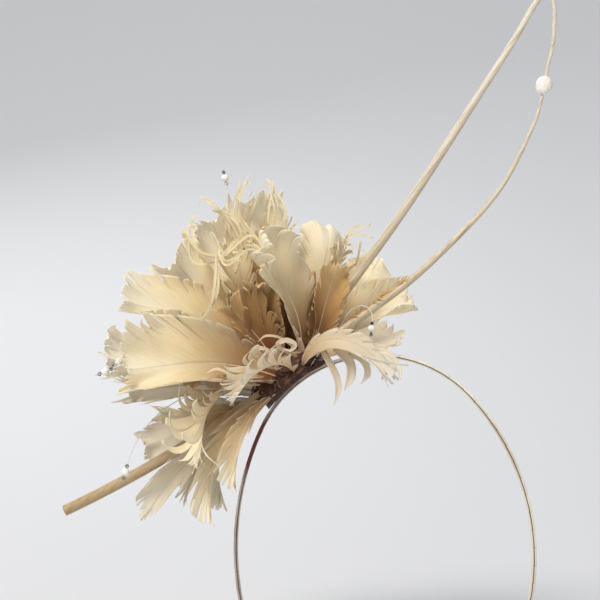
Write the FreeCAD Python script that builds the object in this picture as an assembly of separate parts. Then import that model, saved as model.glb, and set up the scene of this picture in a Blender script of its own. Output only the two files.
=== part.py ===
import FreeCAD, Part
import math
import os

# Feather fascinator on a satin-covered alice band.
#
# A springy steel strip in a satin ribbon passes over the head from ear to ear. A round base of stiffened
# sinamay is glued on the band's left shoulder, and goose feathers, two stripped quills and six beaded
# lines stand on that base. The quills' tips meet in one large pearl.
#
# Frame, in millimetres: the origin is the centre of the crown's round arc, +X is the wearer's left to
# right as seen from the front, +Y is away from the front, and +Z is up. The head lies along Y.

Vector = FreeCAD.Vector

# ---- Alice band: steel core, ribbon around it, and the arcs that it follows -----------------------
CORE_WIDTH = 4.7
CORE_THICKNESS = 0.8
CORE_GAP = 0.05  # glue between the core and the ribbon
RIBBON_WALL = 0.55  # two turns of satin
RIBBON_EDGE_RADIUS = 0.5
CROWN_RADIUS = 64.5  # outside of the crown
CROWN_LEFT_SPAN = 66.0  # degrees from the top
CROWN_RIGHT_SPAN = 46.0
LEFT_LEG_RADIUS = 144.5
LEFT_LEG_SPAN = 43.0
RIGHT_LEG_RADIUS = 118.5
RIGHT_LEG_SPAN = 64.0
KNUCKLE_CLEARANCE = 0.15
CUFF_LENGTH = 9.0
CUFF_WALL = 0.4
CUFF_GAP = 0.05
CUFF_END = 0.8

# ---- Base on the band's left shoulder -------------------------------------------------------------
SEAT_ANGLE = -38.0  # degrees from the top of the crown, negative to the left
BASE_RADIUS = 20.0
BASE_THICKNESS = 3.0
GLUE_THICKNESS = 0.6
GLUE_LENGTH = 30.0

# ---- Quills and the pearl that joins their tips ---------------------------------------------------
QUILL_BUTT_RADIUS = 2.75
QUILL_WALL = 0.6
QUILL_BORE_DEPTH = 14.0
CURVED_QUILL_SEAT_RADIUS = 2.3
STRAIGHT_QUILL_RADIUS = 2.3
STRAIGHT_QUILL_SINK = 0.6  # how deep its foot stands in the base
STRAIGHT_QUILL_TOP_RADIUS = 1.45
QUILL_TIP_RADIUS = 0.75
PEARL_RADIUS = 4.3
PEARL_LENGTH = 10.0
PEARL_BORE_CLEARANCE = 0.2
QUILL_TIP_GAP = 1.2  # between the two tips inside the pearl
QUILL_RUN_IN = 4.0  # length that runs straight into the pearl
CURVED_QUILL_STATIONS = 44  # cross-sections along each quill
STRAIGHT_QUILL_STATIONS = 60
LASHING_RADIUS = 0.3
LASHING_TURNS = 5
LASHING_PITCH = 0.75
LASHING_GAP = 0.05  # from the quill and from the base

# ---- Beaded lines ---------------------------------------------------------------------------------
LINE_RADIUS = 0.22
LINE_FOOT_RADIUS = 0.6
LINE_SOCKET_RADIUS = 1.3
LINE_FOOT_DEPTH = 1.0
SPRAY_PEARL_RADIUS = 2.0
CRYSTAL_RADIUS = 1.1
CRYSTAL_END_RADIUS = 0.5
CRYSTAL_LENGTH = 1.9
BEAD_BORE_CLEARANCE = 0.05
BEAD_SPACING = 0.12
BEAD_STRAIGHT = 8.6  # straight end of a line, under its beads

# ---- Feathers -------------------------------------------------------------------------------------
SHAFT_RADIUS = 0.8  # half width of a feather's bare foot
VANE_THICKNESS = 0.9
VANE_TIP_SHARE = 0.4  # width at the tip over the widest
CUP_SHARE = 0.12  # how deep a vane is cupped, over its width
LEAST_CUP = 0.08  # of the bare foot and the tip
FOOT_SINK = 1.2  # how far a foot goes into the base
# A feather's cross-sections: how far along it they are, and how far they spread from bare to widest.
BARE_SECTIONS = ((0, 0), (0.14, 0.05), (0.32, 0.62))
FULL_SECTIONS = ((0.55, 1), (0.8, 0.82), (1, 0))

BAND_THICKNESS = CORE_THICKNESS + 2 * (RIBBON_WALL + CORE_GAP)
BAND_WIDTH = CORE_WIDTH + 2 * (RIBBON_WALL + CORE_GAP)
BASE_INNER = CROWN_RADIUS + GLUE_THICKNESS
BASE_TOP = BASE_INNER + BASE_THICKNESS

# Feathers, each with the place of its foot as shares of the base's radius (along the band, to the front),
# then its middle and its tip as (right, front, up) from the middle of the base, its width, and which way its
# upper side faces as (right, front, up).
FEATHERS = {
    # tall ones at the back
    "petal_upper_left": ((-0.4, -0.4), (-39, -18, 31), (-58, -24, 62), 27, (-0.5, 1, 0.3)),
    "petal_upper_back": ((-0.25, -0.55), (-29, -24, 44), (-41, -30, 80), 19, (-0.2, 1, 0.2)),
    "plume_tall_left": ((-0.3, -0.15), (-27, -8, 51), (-25, -13, 93), 15, (0.1, 1, 0.1)),
    "plume_tall_back": ((0.05, -0.65), (-15, -20, 55), (-14, -27, 92), 18, (0.1, 1, 0.1)),
    "plume_arched": ((0.1, -0.35), (-13, -10, 59), (2, -9, 77), 14, (-0.4, 0.4, 1)),
    "bud_hood": ((0.4, -0.4), (14, -11, 45), (21, -13, 81), 24, (0.0, 1, 0.0)),
    "bud_lip": ((0.5, 0.06), (15, 4, 31), (22, 3.5, 56), 11, (0.2, 1, 0.1)),
    "plume_wisp_right": ((0.475, -0.63), (18, -18, 46), (27, -19.5, 75), 9, (0.2, 1, 0.0)),
    # the open heart of the flower
    "petal_centre": ((0.1, 0.25), (-4, 17, 44), (-27, 28, 62), 22, (0.7, 0.9, 0.5)),
    "petal_inner": ((-0.2, 0.05), (-15, 4, 24), (-16, 6, 49), 11, (0.2, 1, 0.1)),
    # to the left
    "petal_left": ((-0.6, -0.15), (-50, -8, 30), (-86, -5, 30), 22, (-0.1, 0.9, 0.8)),
    "petal_left_bright": ((-0.6, 0.15), (-60, 2, 10), (-96, 3, 1), 18, (-0.1, 1, 0.5)),
    "petal_front_left": ((-0.15, 0.72), (-50, 22.5, 7), (-81, 25, 1), 28, (0.0, 1, 0.35)),
    "petal_low_left": ((-0.75, -0.3), (-63, -9, -6), (-90, -9, -13), 14, (0.0, 1, 0.3)),
    "plume_hook_left": ((-0.73, 0.13), (-57, 2, -21), (-79, 1, -20), 7, (0.0, 1, 0.2)),
    "plume_under_left": ((-0.85, -0.1), (-54, -10, -28), (-75, -12, -39), 10, (0.0, 1, 0.3)),
    # hanging
    "hanging_far_left": ((-0.85, 0.27), (-55, 3.6, -46), (-76, 2, -72), 12, (0.1, 1, 0.0)),
    "hanging_left": ((-0.915, 0.025), (-48, -4, -44), (-55, -6, -66), 14, (0.0, 1, 0.0)),
    "hanging_middle": ((-0.65, 0.67), (-38, 20, -38), (-40, 20, -73), 8, (0.2, 1, 0.0)),
    "hanging_right": ((-0.875, -0.3), (-38, -12, -40), (-33, -13, -69), 10, (-0.1, 1, 0.0)),
    "hanging_near_band": ((-0.525, 0.735), (-26, 25, -30), (-28, 25, -56), 7, (0.0, 1, 0.0)),
    # curled ones at the front
    "curl_front": ((0.06, 0.82), (-21, 33, 6), (-30, 34, -17), 11, (-0.2, 1, 0.6)),
    "curl_low": ((-0.375, 0.845), (-44, 32, -31), (-38, 35, -44), 10, (-0.9, 0.8, 0.2)),
    # to the right
    "petal_right_back": ((0.715, -0.59), (30, -28, 36), (52, -31, 46), 19, (-0.2, 1, 0.6)),
    "petal_right": ((0.775, -0.3), (34, -12, 29), (61, -13, 32), 17, (-0.1, 1, 0.6)),
    "petal_front_right": ((0.25, 0.725), (17, 34, 22), (38, 43, 5), 28, (0.5, 0.9, 0.9)),
    "petal_drooping": ((0.675, 0.64), (33, 18, 15), (48, 19, 2), 11, (0.5, 0.8, 0.8)),
}
# The feather that lies along the crown, with its middle and its tip given up from the crown's outer face.
CROWN_FEATHERS = {
    "petal_right_low": ((0.84, -0.025), (34, -2, 6.2), (53, -1, 2.2), 12, (0.0, 0.7, 1)),
}

# Beaded lines, each with the place of its foot on the base, the end of its straight stem and the end of
# the arc that follows, as for the feathers. Its beads are past that arc.
SPRAYS = {
    "spray_top": ((-2, -16.5), (-20, -31, 50), (-34.5, -38, 97)),
    "spray_left": ((-7.5, 3.5), (-45, 9, 14), (-82.5, 12.5, 9.5)),
    "spray_far_left": ((-10.5, 6), (-50, 14, 6), (-88, 18, 4)),
    "spray_low": ((-13.6, 5.8), (-26, 8, -7.2), (-81, 17, -43)),
    "spray_right": ((16.5, 3), (26, 3.8, 28.5), (39, 18, 27)),
    "spray_front": ((9.5, 15.8), (17, 22, 18), (33, 27, 16.5)),
}


def turned(angle):
    """Unit vector at an angle from the top of the band, positive to the right."""
    return Vector(math.sin(math.radians(angle)), 0, math.cos(math.radians(angle)))


def seat_point(along, front, height=0.0):
    """A point over the base, at a distance along the band and to the front of the base's middle."""
    out = turned(SEAT_ANGLE + math.degrees(along / BASE_TOP))
    return out * (BASE_TOP + height) + Vector(0, -front, 0)


def from_seat(right, front, up):
    """A point given from the middle of the base's top."""
    return seat_point(0, 0) + Vector(right, -front, up)


def over_crown(right, front, gap):
    """A point given across from the middle of the base's top, and up from the crown's outer face."""
    point = from_seat(right, front, 0)
    point.z = math.sqrt(CROWN_RADIUS**2 - point.x**2) + gap
    return point


def band_section(width, thickness, corner, outer_radius):
    """The band's cut face at the top of an arc about the origin."""
    low, high = outer_radius - thickness, outer_radius
    block = Part.makeBox(1, width, thickness, Vector(0, -width / 2, low))
    if corner:
        block = block.makeFillet(corner, [e for e in block.Edges if abs(e.tangentAt(0).x) > 0.9])
    return min(block.Faces, key=lambda f: f.CenterOfMass.x)


def band_arc(width, thickness, corner, inset, arc, start=0.0, end=0.0):
    """A stretch of the band's section along an arc, made longer by start and end millimetres."""
    centre, radius, angle, span = arc
    face = band_section(width, thickness, corner, radius - inset)
    direction = math.copysign(1, span)
    before, after = (math.degrees(x / radius) * direction for x in (start, end))
    face.rotate(Vector(), Vector(0, 1, 0), angle - before)
    solid = face.revolve(Vector(), Vector(0, 1, 0), span + before + after)
    solid.translate(centre)
    return solid if solid.Volume > 0 else solid.reversed()


def leg_centre(radius, angle):
    return turned(angle) * (CROWN_RADIUS - radius)


CROWN = (Vector(), CROWN_RADIUS, -CROWN_LEFT_SPAN, CROWN_LEFT_SPAN + CROWN_RIGHT_SPAN)
LEFT_LEG = (
    leg_centre(LEFT_LEG_RADIUS, -CROWN_LEFT_SPAN),
    LEFT_LEG_RADIUS,
    -CROWN_LEFT_SPAN,
    -LEFT_LEG_SPAN,
)
RIGHT_LEG = (
    leg_centre(RIGHT_LEG_RADIUS, CROWN_RIGHT_SPAN),
    RIGHT_LEG_RADIUS,
    CROWN_RIGHT_SPAN,
    RIGHT_LEG_SPAN,
)


def ribbon(arc, start=0.0, end=0.0):
    return band_arc(BAND_WIDTH, BAND_THICKNESS, RIBBON_EDGE_RADIUS, 0, arc, start, end)


def core(arc, start=0.0, end=0.0):
    return band_arc(CORE_WIDTH, CORE_THICKNESS, 0, RIBBON_WALL + CORE_GAP, arc, start, end)


def core_space(arc, start=0.0, end=0.0):
    """The room that the ribbon leaves for the core and its glue."""
    width, thickness = CORE_WIDTH + 2 * CORE_GAP, CORE_THICKNESS + 2 * CORE_GAP
    return band_arc(width, thickness, 0, RIBBON_WALL, arc, start, end)


def knuckle(angle):
    """The rounded end of the crown, on the line where a leg flexes."""
    radius = BAND_THICKNESS / 2
    middle = turned(angle) * (CROWN_RADIUS - radius)
    width = BAND_WIDTH - 2 * RIBBON_EDGE_RADIUS
    return Part.makeCylinder(radius, width, middle - Vector(0, width / 2, 0), Vector(0, 1, 0))


def make_band(parts):
    setback = BAND_THICKNESS / 2 + CORE_GAP  # the cores stop short of the knuckles
    parts["crown_core"] = core(CROWN, -setback, -setback)
    crown = ribbon(CROWN).cut(core_space(CROWN, -setback, -setback))
    for angle in (-CROWN_LEFT_SPAN, CROWN_RIGHT_SPAN):
        crown = crown.fuse(knuckle(angle))
    parts["crown_ribbon"] = crown.removeSplitter()
    for side, arc in (("left", LEFT_LEG), ("right", RIGHT_LEG)):
        parts[f"{side}_leg_core"] = core(arc, -2 * setback, -setback)
        start = -BAND_THICKNESS / 2 - KNUCKLE_CLEARANCE
        parts[f"{side}_leg_ribbon"] = ribbon(arc, start).cut(core_space(arc, -2 * setback, -setback))
        parts[f"{side}_tip_cuff"] = tip_cuff(arc)


def tip_cuff(arc):
    """A folded satin cuff over the end of a leg."""
    centre, radius, angle, span = arc
    tip = (centre, radius, angle + span, math.copysign(math.degrees(CUFF_LENGTH / radius), -span))
    grown = CUFF_WALL + CUFF_GAP
    size = (BAND_WIDTH + 2 * grown, BAND_THICKNESS + 2 * grown, RIBBON_EDGE_RADIUS + grown, -grown)
    hole = (BAND_WIDTH + 2 * CUFF_GAP, BAND_THICKNESS + 2 * CUFF_GAP, RIBBON_EDGE_RADIUS, -CUFF_GAP)
    return band_arc(*size, tip, CUFF_END, 0).cut(band_arc(*hole, tip, CUFF_GAP, 1))


def shell_about_crown(inner, outer, width):
    """A piece of pipe about the crown's own axis."""
    start = Vector(0, -width / 2, 0)
    outside = Part.makeCylinder(outer, width, start, Vector(0, 1, 0))
    return outside.cut(Part.makeCylinder(inner, width, start, Vector(0, 1, 0)))


def make_base(parts):
    out = turned(SEAT_ANGLE)
    reach = BASE_TOP + BASE_RADIUS
    punch = Part.makeCylinder(BASE_RADIUS, reach, Vector(), out)
    base = shell_about_crown(BASE_INNER, BASE_TOP, 4 * BASE_RADIUS).common(punch)
    for foot, bend, _ in SPRAYS.values():
        base = base.cut(line_socket(foot, bend))
    parts["sinamay_base"] = base
    half = Part.makeBox(GLUE_LENGTH, BAND_WIDTH, reach, Vector(-GLUE_LENGTH / 2, -BAND_WIDTH / 2, 0))
    half.rotate(Vector(), Vector(0, 1, 0), SEAT_ANGLE)
    parts["glue_bed"] = shell_about_crown(CROWN_RADIUS, BASE_INNER, BAND_WIDTH).common(half)


def line_socket(foot, bend):
    """The hole in the base where the knot of a beaded line turns, open the way that the line leaves it."""
    start = seat_point(*foot, -LINE_FOOT_DEPTH)
    way_out = Part.makeCylinder(LINE_SOCKET_RADIUS, BASE_RADIUS / 2, start, from_seat(*bend) - start)
    return way_out.fuse(Part.makeSphere(LINE_SOCKET_RADIUS, start))


class Arc:
    """The round arc through three points, with the axis that it turns about."""

    def __init__(self, first, middle, last):
        a, b = middle - first, last - first
        across = a.cross(b)
        square = across.dot(across)
        to_centre = (across.cross(a) * b.dot(b) + b.cross(across) * a.dot(a)) * (0.5 / square)
        self.axis = across / across.Length
        self.first, self.centre = first, first + to_centre
        start, end = first - self.centre, last - self.centre
        self.turn = math.atan2(start.cross(end).dot(self.axis), start.dot(end)) % (2 * math.pi)

    def point(self, share):
        rotation = FreeCAD.Rotation(self.axis, math.degrees(self.turn * share))
        return self.centre + rotation.multVec(self.first - self.centre)

    def tangent(self, share):
        along = self.axis.cross(self.point(share) - self.centre)
        along.normalize()
        return along


def vane_section(middle, along, facing, half_width, thickness, cup):
    """A thin cupped outline across a feather."""
    side = facing.cross(along)
    side.normalize()
    lift = along.cross(side)
    half = lift * (thickness / 2)
    left, right = middle - side * half_width, middle + side * half_width
    low = middle - lift * cup
    upper = Part.Arc(left + half, low + half, right + half).toShape()
    lower = Part.Arc(right - half, low - half, left - half).toShape()
    ends = [Part.makeLine(right + half, right - half), Part.makeLine(left - half, left + half)]
    return Part.Wire([upper, ends[0], lower, ends[1]])


def feather(foot, middle, tip, width, face, place=from_seat):
    """A feather as one cupped blade on a bare foot that stands in the base."""
    along, front = (share * BASE_RADIUS for share in foot)
    arc = Arc(seat_point(along, front, -FOOT_SINK), place(*middle), place(*tip))
    wanted = Vector(face[0], -face[1], face[2])
    axis, tangent = arc.axis, arc.tangent(0.5)
    out = axis.cross(tangent)
    roll = math.atan2(wanted.dot(axis), wanted.dot(out))
    rows = [(share, spread, SHAFT_RADIUS, SHAFT_RADIUS) for share, spread in BARE_SECTIONS]
    rows += [(share, spread, width * VANE_TIP_SHARE / 2, 0) for share, spread in FULL_SECTIONS]
    sections = []
    for share, spread, narrow, extra in rows:
        tangent = arc.tangent(share)
        facing = axis.cross(tangent) * math.cos(roll) + axis * math.sin(roll)
        half_width = narrow + spread * (width / 2 - narrow)
        thickness = VANE_THICKNESS + (1 - spread) * extra
        cup = max(LEAST_CUP, half_width * 2 * CUP_SHARE * spread)
        sections.append(vane_section(arc.point(share), tangent, facing, half_width, thickness, cup))
    return Part.makeLoft(sections, True, False)


def make_feathers(parts):
    for name, sizes in FEATHERS.items():
        parts[name] = feather(*sizes)
    for name, sizes in CROWN_FEATHERS.items():
        parts[name] = feather(*sizes, over_crown)


def disc_wire(middle, along, radius):
    return Part.Wire(Part.makeCircle(radius, middle, along))


def tapered_rod(points, radii, stations):
    """A round rod along a smooth curve through points, its radius changing evenly between them."""
    curve = Part.BSplineCurve()
    curve.interpolate(points)
    places = [curve.parameter(p) for p in points]
    rings = []
    for i in range(stations + 1):
        at = places[0] + (places[-1] - places[0]) * i / stations
        radius = value_at(places, radii, at)
        rings.append(disc_wire(curve.value(at), curve.tangent(at)[0], radius))
    return Part.makeLoft(rings, True, False), curve


def value_at(places, values, at):
    """The value at a place, running evenly between the values that are given."""
    for (a, b), (low, high) in zip(zip(places, places[1:]), zip(values, values[1:])):
        if at <= b:
            return low + (high - low) * (at - a) / (b - a)
    return values[-1]


# The quills' routes, as (right, front, up) from the middle of the base, and their radii on the way.
CURVED_QUILL = [
    ((-113.5, 4, -67.4), QUILL_BUTT_RADIUS),
    ((-64, 8, -41), 2.7),
    ((-34, 10, -22), 2.5),
    (None, CURVED_QUILL_SEAT_RADIUS),  # across the base
    ((26, 9, 23.5), 2.1),
    ((54.5, 5, 44), 1.9),
    ((80.5, 2, 67.3), 1.5),
    ((105, 0, 95), 1.15),
    ((118.7, -1, 121), 0.95),
]
STRAIGHT_QUILL = [
    ((24, -1.5, 38.4), STRAIGHT_QUILL_RADIUS),
    ((51.5, -1.5, 76.4), 2.2),
    ((74.5, -1, 110.9), 2.0),
    ((94, -1, 141.4), 1.8),
    ((115, -1, 174.9), 1.55),
    ((124.5, -1, 190.3), STRAIGHT_QUILL_TOP_RADIUS),
    ((128.2, -1, 193.5), 1.25),
    ((130.2, -1, 189.5), 1.1),
    ((131, -1, 179.9), 1.0),
    ((129.6, -1, 162), 0.9),
]
PEARL_MIDDLE = (125.8, -1, 144.8)
PEARL_LEAN = (0.19, 0, 1)  # the way its bore runs


def make_quills(parts):
    lean = Vector(*PEARL_LEAN)
    lean.normalize()
    middle = from_seat(*PEARL_MIDDLE)
    seat = seat_point(0, 10, CURVED_QUILL_SEAT_RADIUS)
    half = PEARL_LENGTH / 2
    run_in = [lean * x for x in (half + QUILL_RUN_IN, half + QUILL_RUN_IN / 3, half / 2, QUILL_TIP_GAP / 2)]
    curved = [seat if p is None else from_seat(*p) for p, _ in CURVED_QUILL]
    curved += [middle - x for x in run_in]
    radii = [r for _, r in CURVED_QUILL] + [QUILL_TIP_RADIUS] * len(run_in)
    rod, curve = tapered_rod(curved, radii, CURVED_QUILL_STATIONS)
    butt, along = curved[0], curve.tangent(0)[0]
    bore = Part.makeCylinder(QUILL_BUTT_RADIUS - QUILL_WALL, QUILL_BORE_DEPTH, butt, along)
    parts["curved_quill"] = rod.cut(bore)

    foot = seat_point(-2, -1.5, -STRAIGHT_QUILL_SINK)
    straight = [foot] + [from_seat(*p) for p, _ in STRAIGHT_QUILL]
    straight += [middle + x for x in run_in]
    radii = [STRAIGHT_QUILL_RADIUS] + [r for _, r in STRAIGHT_QUILL] + [QUILL_TIP_RADIUS] * len(run_in)
    parts["straight_quill"] = tapered_rod(straight, radii, STRAIGHT_QUILL_STATIONS)[0]
    parts["quill_pearl"] = quill_pearl(middle, lean)
    ahead = curve.tangent(curve.parameter(seat))[0]
    parts["quill_lashing"] = lashing(seat, ahead)
    parts["sinamay_base"] = parts["sinamay_base"].cut(lashing_groove(seat, ahead))


def quill_pearl(middle, lean):
    """A long pearl with a bore along it."""
    half = PEARL_LENGTH / 2
    oval = Part.Ellipse(Vector(0, 0, half), Vector(PEARL_RADIUS, 0, 0), Vector())
    side = Part.ArcOfEllipse(oval, -math.pi, 0).toShape()
    ends = [v.Point for v in side.Vertexes]
    face = Part.Face(Part.Wire([side, Part.makeLine(ends[1], ends[0])]))
    bore = QUILL_TIP_RADIUS + PEARL_BORE_CLEARANCE
    return drilled(face.revolve(Vector(), Vector(0, 0, 1), 360), bore, half, middle, lean)


def drilled(solid, bore, half_length, middle, axis):
    """A bead, made upright about the origin, drilled through and moved to its place."""
    if solid.Volume < 0:
        solid.reverse()
    solid = solid.cut(Part.makeCylinder(bore, 3 * half_length, Vector(0, 0, -1.5 * half_length)))
    solid.Placement = FreeCAD.Placement(middle, FreeCAD.Rotation(Vector(0, 0, 1), axis))
    return solid


def lashing(seat, ahead):
    """Turns of thread that hold the curved quill down on the base."""
    ring = CURVED_QUILL_SEAT_RADIUS + LASHING_GAP + LASHING_RADIUS
    turns = []
    for i in range(LASHING_TURNS):
        middle = seat + ahead * (i - (LASHING_TURNS - 1) / 2) * LASHING_PITCH
        turns.append(Part.makeTorus(ring, LASHING_RADIUS, middle, ahead))
    return Part.makeCompound(turns)


def lashing_groove(seat, ahead):
    """The dent that the turns of thread pull into the base."""
    length = LASHING_TURNS * LASHING_PITCH
    radius = CURVED_QUILL_SEAT_RADIUS + 2 * (LASHING_GAP + LASHING_RADIUS)
    return Part.makeCylinder(radius, length, seat - ahead * (length / 2), ahead)


def make_sprays(parts):
    for name, (foot, bend, neck) in SPRAYS.items():
        along, front = foot
        start = seat_point(along, front, -LINE_FOOT_DEPTH)
        bend, end = from_seat(*bend), from_seat(*neck)
        axis, centre, turn, ahead = arc_after(start, bend, end)
        circle = Part.Face(disc_wire(bend, bend - start, LINE_RADIUS))
        line = circle.revolve(centre, axis, turn)
        line = line.fuse(Part.makeCylinder(LINE_RADIUS, start.distanceToPoint(bend), start, bend - start))
        line = line.fuse(Part.makeCylinder(LINE_RADIUS, BEAD_STRAIGHT, end, ahead))
        knot = start - axis * LINE_FOOT_RADIUS
        line = line.fuse(Part.makeCylinder(LINE_FOOT_RADIUS, 2 * LINE_FOOT_RADIUS, knot, axis))
        parts[f"{name}_line"] = line
        bore = LINE_RADIUS + BEAD_BORE_CLEARANCE
        first = CRYSTAL_LENGTH / 2 + BEAD_SPACING
        reach = CRYSTAL_LENGTH / 2 + BEAD_SPACING + SPRAY_PEARL_RADIUS
        pearl = first + reach
        ball = Part.makeSphere(SPRAY_PEARL_RADIUS)
        parts[f"{name}_pearl"] = drilled(ball, bore, SPRAY_PEARL_RADIUS, end + ahead * pearl, ahead)
        crystals = [crystal(end + ahead * x, ahead, bore) for x in (first, pearl + reach)]
        parts[f"{name}_crystals"] = Part.makeCompound(crystals)


def arc_after(start, bend, end):
    """The arc that carries on smoothly from a straight run: its axis, centre, turn and last direction."""
    ahead, chord = bend - start, end - bend
    ahead.normalize()
    axis = ahead.cross(chord)
    axis.normalize()
    inward = axis.cross(ahead)
    radius = chord.dot(chord) / (2 * chord.dot(inward))
    turn = 2 * math.degrees(ahead.getAngle(chord))
    return axis, bend + inward * radius, turn, FreeCAD.Rotation(axis, turn).multVec(ahead)


def crystal(middle, axis, bore):
    """A small bicone bead with its two points cut off."""
    half = CRYSTAL_LENGTH / 2
    solid = Part.makeCone(CRYSTAL_END_RADIUS, CRYSTAL_RADIUS, half, Vector(0, 0, -half))
    solid = solid.fuse(Part.makeCone(CRYSTAL_RADIUS, CRYSTAL_END_RADIUS, half))
    return drilled(solid, bore, half, middle, axis)


def main():
    parts = {}
    make_band(parts)
    make_base(parts)
    make_quills(parts)
    make_sprays(parts)
    make_feathers(parts)
    os.makedirs("parts", exist_ok=True)
    for name, shape in parts.items():
        if not shape.isValid() or shape.Volume <= 0:
            print("check this solid:", name, shape.isValid(), shape.Volume)
        shape.exportStep(f"parts/{name}.step")
    print(len(parts), "nodes")


main()
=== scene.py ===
import math

import bpy
import numpy as np
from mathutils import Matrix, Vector


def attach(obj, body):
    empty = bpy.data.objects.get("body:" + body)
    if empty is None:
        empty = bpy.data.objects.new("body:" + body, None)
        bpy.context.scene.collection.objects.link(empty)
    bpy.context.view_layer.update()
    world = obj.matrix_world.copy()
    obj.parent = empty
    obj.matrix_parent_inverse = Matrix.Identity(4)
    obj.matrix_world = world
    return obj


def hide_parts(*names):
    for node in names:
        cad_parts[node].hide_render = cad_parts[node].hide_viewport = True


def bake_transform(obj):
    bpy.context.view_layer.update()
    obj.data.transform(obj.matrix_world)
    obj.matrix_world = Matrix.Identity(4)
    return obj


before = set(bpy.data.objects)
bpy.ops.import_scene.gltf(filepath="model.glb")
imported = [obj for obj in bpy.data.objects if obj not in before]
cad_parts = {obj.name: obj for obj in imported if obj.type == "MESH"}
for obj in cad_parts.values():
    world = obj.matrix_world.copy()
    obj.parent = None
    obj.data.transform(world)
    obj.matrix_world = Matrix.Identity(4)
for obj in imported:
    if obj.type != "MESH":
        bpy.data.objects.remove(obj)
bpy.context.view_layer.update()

# ---- Camera --------------------------------------------------------------------------------------
# It looks level at the front of the headpiece, a little to the flower's right, from an arm's length.
MM = 0.001
camera = bpy.data.objects.new("camera", bpy.data.cameras.new("camera"))
camera.data.lens = 108
camera.data.sensor_width = 36
camera.location = (-38.35 * MM, -900.0 * MM, 91.1 * MM)
camera.rotation_euler = (math.radians(90), 0, 0)
bpy.context.collection.objects.link(camera)
bpy.context.scene.camera = camera

# ---- Floor and light -----------------------------------------------------------------------------
# A pale paper sweep under and behind the headpiece, a large soft lamp high on the left, a wide weaker
# one on the right, one high behind on the left and a broad one overhead that lights the sweep.
FLOOR = -94 * MM


def nodes_of(name):
    """A new material with its tree, its surface shader and a helper that adds a linked node."""
    material = bpy.data.materials.new(name)
    material.use_nodes = True
    tree = material.node_tree
    shader = tree.nodes["Principled BSDF"]

    def add(kind, inputs=None, **settings):
        node = tree.nodes.new(kind)
        for key, value in settings.items():
            setattr(node, key, value)
        for key, value in (inputs or {}).items():
            if isinstance(value, bpy.types.NodeSocket):
                tree.links.new(value, node.inputs[key])
            else:
                node.inputs[key].default_value = value
        return node

    def link(socket, key):
        tree.links.new(socket, shader.inputs[key])

    return material, shader, add, link


def ramp(add, factor, stops):
    """A colour ramp through (place, colour) stops."""
    node = add("ShaderNodeValToRGB", {"Fac": factor})
    elements = node.color_ramp.elements
    while len(elements) < len(stops):
        elements.new(0.5)
    for element, (place, colour) in zip(elements, stops):
        element.position = place
        element.color = (*colour, 1)
    return node.outputs["Color"]


def maths(add, operation, *inputs):
    return add("ShaderNodeMath", dict(enumerate(inputs)), operation=operation).outputs[0]


def noise(add, vector, scale, **more):
    return add("ShaderNodeTexNoise", {"Vector": vector, "Scale": scale, **more}).outputs["Fac"]


def mix(add, factor, below, above, blend="MIX"):
    """Two colours mixed; blend says how the second one lies over the first."""
    inputs = {"Factor": factor, "A": below, "B": above}
    return add("ShaderNodeMix", inputs, data_type="RGBA", blend_type=blend).outputs["Result"]


def roughen(add, link, height, strength, distance):
    """Fine relief, with its depth in metres."""
    relief = add("ShaderNodeBump", {"Height": height, "Strength": strength, "Distance": distance})
    link(relief.outputs["Normal"], "Normal")


paper, shader, add, link = nodes_of("paper sweep")
shader.inputs["Roughness"].default_value = 0.9
shader.inputs["Specular IOR Level"].default_value = 0.1
where = add("ShaderNodeTexCoord").outputs["Object"]
grain = noise(add, where, 900.0, Detail=3.0)
link(ramp(add, grain, [(0.3, (0.66, 0.665, 0.68)), (0.7, (0.69, 0.695, 0.71))]), "Base Color")

SWEEP_HALF_WIDTH = 6.0
SWEEP_FRONT = -1.6
SWEEP_BEND_START = 0.2
SWEEP_RADIUS = 2.6
SWEEP_TOP = 4.5
profile = [(SWEEP_FRONT, 0.0), (SWEEP_BEND_START, 0.0)]
for a in np.linspace(0.03, math.pi / 2, 40):
    profile.append((SWEEP_BEND_START + SWEEP_RADIUS * math.sin(a), SWEEP_RADIUS * (1 - math.cos(a))))
profile.append((SWEEP_BEND_START + SWEEP_RADIUS, SWEEP_TOP))
verts = [(x, y, FLOOR + z) for y, z in profile for x in (-SWEEP_HALF_WIDTH, SWEEP_HALF_WIDTH)]
faces = [(2 * i, 2 * i + 1, 2 * i + 3, 2 * i + 2) for i in range(len(profile) - 1)]
mesh = bpy.data.meshes.new("sweep")
mesh.from_pydata(verts, [], faces)
mesh.shade_smooth()
sweep = bpy.data.objects.new("sweep", mesh)
sweep.data.materials.append(paper)
bpy.context.collection.objects.link(sweep)


def lamp(name, place, aim, size, watts, colour=(1, 1, 1)):
    """A soft rectangular lamp turned to its aim, in metres."""
    light = bpy.data.lights.new(name, "AREA")
    light.shape = "RECTANGLE"
    light.size, light.size_y = size
    light.energy = watts
    light.color = colour
    holder = bpy.data.objects.new(name, light)
    holder.location = place
    direction = np.array(aim) - np.array(place)
    holder.rotation_euler = Vector(direction).to_track_quat("-Z", "Y").to_euler()
    bpy.context.collection.objects.link(holder)


lamp("key", (-0.7, -1.1, 1.3), (-0.05, 0, 0.05), (0.6, 0.6), 27, (1.0, 0.975, 0.94))
lamp("fill", (1.3, -1.0, 0.6), (0, 0, 0.05), (1.2, 1.2), 4)
lamp("rim", (-0.6, 1.0, 0.9), (-0.05, 0, 0.08), (0.9, 0.6), 5)
lamp("backdrop", (0, 0.5, 1.7), (0, 2.3, 0.2), (3.0, 1.0), 13)
world = bpy.data.worlds.new("studio")
world.use_nodes = True
sky = world.node_tree.nodes["Background"].inputs
sky["Color"].default_value = (0.95, 0.97, 1.0, 1)
sky["Strength"].default_value = 0.34
bpy.context.scene.world = world
bpy.context.scene.view_settings.view_transform = "Standard"
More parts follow.
